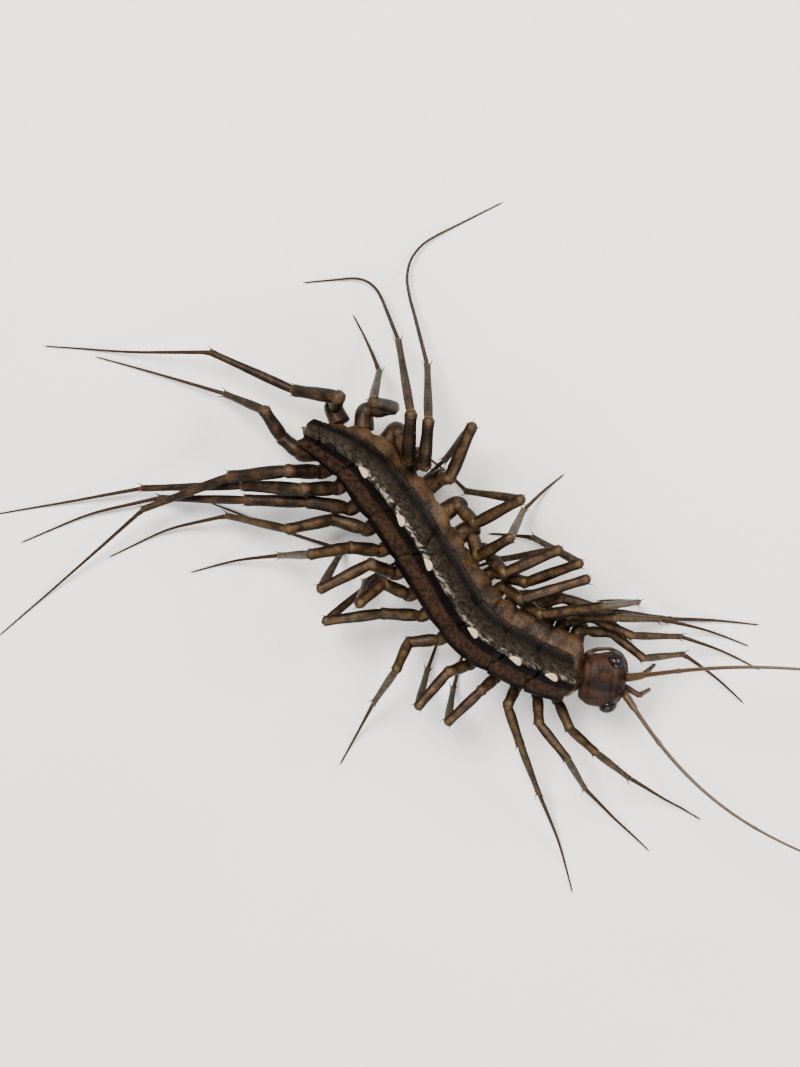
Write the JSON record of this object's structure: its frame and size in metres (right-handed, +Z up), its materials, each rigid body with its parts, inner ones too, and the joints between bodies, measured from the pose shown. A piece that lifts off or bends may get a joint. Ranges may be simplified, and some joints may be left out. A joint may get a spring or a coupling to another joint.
{
  "type": "house centipede",
  "caption": "House centipede standing on its long jointed legs, back plates, feelers and bent body in a resting S curve.",
  "frame": {"origin": "on the floor under the middle of the whole animal, feelers and legs included", "axes": "+X from the tail to the head, +Y to the animal's left, +Z up"},
  "size_m": [0.071, 0.0474, 0.0102],
  "materials": {
    "flank": "satin",
    "plate": "gloss",
    "leg": "satin",
    "head": "gloss",
    "eye": "gloss"
  },
  "bodies": {
    "root": {"trunk_tail": "flank", "trunk_rear": "flank", "trunk_middle": "flank", "trunk_front": "flank", "telson": "flank", "tergite_1": "plate", "tergite_2": "plate", "tergite_3": "plate", "tergite_4": "plate", "tergite_5": "plate", "tergite_6": "plate", "tergite_7": "plate", "tergite_8": "plate", "head": "head", "eye_left": "eye", "antenna_left": "leg", "palp_left": "leg", "forcipule_left": "head", "leg_left_1": "leg", "leg_left_2": "leg", "leg_left_3": "leg", "leg_left_4": "leg", "leg_left_5": "leg", "leg_left_6": "leg", "leg_left_7": "leg", "leg_left_8": "leg", "leg_left_9": "leg", "leg_left_10": "leg", "leg_left_11": "leg", "leg_left_12": "leg", "leg_left_13": "leg", "leg_left_14": "leg", "leg_left_15": "leg", "eye_right": "eye", "antenna_right": "leg", "palp_right": "leg", "forcipule_right": "head", "leg_right_1": "leg", "leg_right_2": "leg", "leg_right_3": "leg", "leg_right_4": "leg", "leg_right_5": "leg", "leg_right_6": "leg", "leg_right_7": "leg", "leg_right_8": "leg", "leg_right_9": "leg", "leg_right_10": "leg", "leg_right_11": "leg", "leg_right_12": "leg", "leg_right_13": "leg", "leg_right_14": "leg", "leg_right_15": "leg"}
  },
  "joints": []
}
